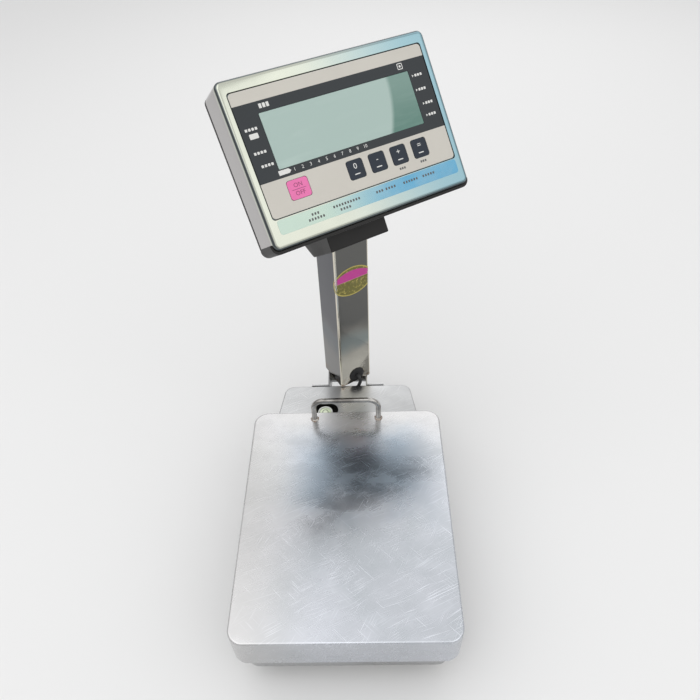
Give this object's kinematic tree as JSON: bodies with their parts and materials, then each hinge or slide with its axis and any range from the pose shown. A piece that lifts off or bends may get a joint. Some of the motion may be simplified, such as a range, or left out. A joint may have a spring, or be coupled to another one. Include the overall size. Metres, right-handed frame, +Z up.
{
  "type": "waterproof platform scale",
  "caption": "Bench platform scale with lift-off stainless pan, load cell base, square swivel column and a tilting display head",
  "frame": {"origin": "Centre of the underside of the model's bounding box: on the floor, with the feet down.", "axes": "+X to the right of someone standing in front of the pan, +Y from the front of the pan back to the column, +Z up, out of the pan's top."},
  "size_m": [0.2826, 0.5252, 0.5374],
  "materials": {
    "steel_satin": "satin stainless sheet, lightly scratched",
    "steel_bright": "polished stainless",
    "zinc_steel": "zinc-plated steel",
    "aluminium": "milled aluminium",
    "black_plastic": "moulded black plastic, fine grain",
    "black_rubber": "black rubber",
    "panel_film": "printed polyester film, satin",
    "display_window": "grey-green display window",
    "key_pink": "embossed pink key",
    "key_navy": "embossed dark navy key",
    "board_laminate": "solder-masked laminate",
    "vial_acrylic": "white-backed clear vial",
    "battery_sleeve": "bare grey sleeve"
  },
  "bodies": {
    "base": {"base_housing": "steel_satin", "bottom_plate": "zinc_steel", "load_cell": "aluminium", "cell_seat": "zinc_steel", "cell_post": "zinc_steel", "platform_spider": "aluminium", "pan_pad_front_left": "black_rubber", "pan_pad_front_right": "black_rubber", "pan_pad_rear_left": "black_rubber", "pan_pad_rear_right": "black_rubber", "level_cup": "black_plastic", "level_vial": "vial_acrylic", "cable_gland": "black_plastic", "column_bracket": "steel_satin", "bracket_bolt_upper_left": "zinc_steel", "bracket_bolt_upper_right": "zinc_steel", "bracket_bolt_lower_left": "zinc_steel", "bracket_bolt_lower_right": "zinc_steel", "pivot_shelf": "zinc_steel", "swivel_washer": "black_rubber", "pivot_bolt": "zinc_steel", "pivot_nut": "zinc_steel", "signal_cable_loop": "black_rubber"},
    "pan": {"pan": "steel_satin", "pan_handle": "steel_bright"},
    "column": {"column_tube": "steel_bright", "column_foot": "zinc_steel", "column_plug": "black_plastic", "cable_grommet": "black_rubber", "signal_cable": "black_rubber"},
    "head": {"head_yoke": "black_plastic", "tilt_pin": "zinc_steel", "front_cover": "steel_bright", "membrane_panel": "panel_film", "lcd_window": "display_window", "lcd_module": "black_plastic", "circuit_board": "board_laminate", "case_gasket": "black_rubber", "rear_case": "black_plastic", "lower_rail": "black_plastic", "battery_left": "battery_sleeve", "battery_right": "battery_sleeve", "case_screw_upper_left": "zinc_steel", "case_screw_upper_right": "zinc_steel", "case_screw_lower_left": "zinc_steel", "case_screw_lower_right": "zinc_steel"},
    "battery_cover": {"battery_cover": "black_plastic"},
    "key_power": {"key_power": "key_pink"},
    "key_1": {"key_1": "key_navy"},
    "key_2": {"key_2": "key_navy"},
    "key_3": {"key_3": "key_navy"},
    "key_4": {"key_4": "key_navy"},
    "foot_front_left": {"foot_pad_front_left": "black_rubber", "foot_stud_front_left": "zinc_steel"},
    "foot_front_right": {"foot_pad_front_right": "black_rubber", "foot_stud_front_right": "zinc_steel"},
    "foot_rear_left": {"foot_pad_rear_left": "black_rubber", "foot_stud_rear_left": "zinc_steel"},
    "foot_rear_right": {"foot_pad_rear_right": "black_rubber", "foot_stud_rear_right": "zinc_steel"}
  },
  "joints": [
    {"name": "pan_lift", "type": "slide", "parent": "base", "child": "pan", "axis": [0, 0, 1], "range_m": [0, 0.12]},
    {"name": "column_swivel", "type": "hinge", "parent": "base", "child": "column", "pos_m": [-0.00777, 0.15137, 0.0792], "axis": [0, 0, 1], "range_deg": [-76, 14], "deforming": ["signal_cable_loop"]},
    {"name": "head_tilt", "type": "hinge", "parent": "column", "child": "head", "pos_m": [-0.00777, 0.15137, 0.353], "axis": [0.8572, 0.515, 0], "range_deg": [-20, 7]},
    {"name": "battery_cover_pull", "type": "slide", "parent": "head", "child": "battery_cover", "axis": [-0.4092, 0.6809, -0.6074], "range_m": [0, 0.04]},
    {"name": "key_power_press", "type": "slide", "parent": "head", "child": "key_power", "axis": [-0.4092, 0.6809, -0.6074], "range_m": [0, 0.0005], "stiffness_N_per_m": 8000},
    {"name": "key_1_press", "type": "slide", "parent": "head", "child": "key_1", "axis": [-0.4092, 0.6809, -0.6074], "range_m": [0, 0.0005], "stiffness_N_per_m": 8000},
    {"name": "key_2_press", "type": "slide", "parent": "head", "child": "key_2", "axis": [-0.4092, 0.6809, -0.6074], "range_m": [0, 0.0005], "stiffness_N_per_m": 8000},
    {"name": "key_3_press", "type": "slide", "parent": "head", "child": "key_3", "axis": [-0.4092, 0.6809, -0.6074], "range_m": [0, 0.0005], "stiffness_N_per_m": 8000},
    {"name": "key_4_press", "type": "slide", "parent": "head", "child": "key_4", "axis": [-0.4092, 0.6809, -0.6074], "range_m": [0, 0.0005], "stiffness_N_per_m": 8000},
    {"name": "foot_front_left_level", "type": "slide", "parent": "base", "child": "foot_front_left", "axis": [0, 0, -1], "range_m": [-0.004, 0.008]},
    {"name": "foot_front_right_level", "type": "slide", "parent": "base", "child": "foot_front_right", "axis": [0, 0, -1], "range_m": [-0.004, 0.008]},
    {"name": "foot_rear_left_level", "type": "slide", "parent": "base", "child": "foot_rear_left", "axis": [0, 0, -1], "range_m": [-0.004, 0.008]},
    {"name": "foot_rear_right_level", "type": "slide", "parent": "base", "child": "foot_rear_right", "axis": [0, 0, -1], "range_m": [-0.004, 0.008]}
  ]
}
